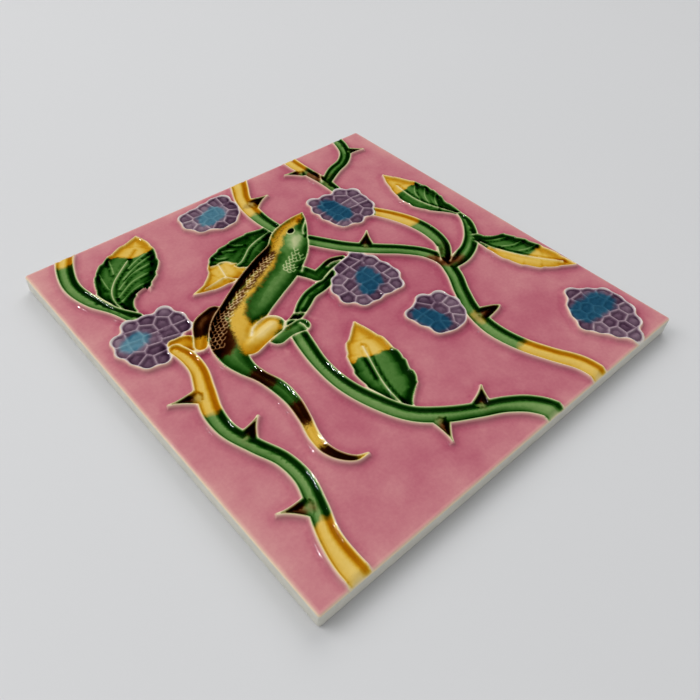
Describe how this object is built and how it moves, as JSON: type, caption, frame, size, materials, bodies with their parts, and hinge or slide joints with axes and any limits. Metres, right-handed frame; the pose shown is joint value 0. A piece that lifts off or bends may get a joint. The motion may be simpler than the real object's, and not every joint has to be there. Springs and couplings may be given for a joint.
{
  "type": "relief ceramic tile",
  "caption": "Square glazed earthenware tile with a moulded relief of a lizard climbing bramble stems with thorns, leaves and berries; flat grooved back.",
  "frame": {"origin": "centre of the flat back", "axes": "+Z out of the relief face, +X along the bottom edge of the picture, +Y towards the top edge of the picture"},
  "size_m": [0.1524, 0.1524, 0.0087],
  "materials": {
    "tile": "high gloss coloured glazes pooled between raised outlines, bare biscuit on the sides and back"
  },
  "bodies": {
    "root": {"tile": "tile"}
  },
  "joints": []
}
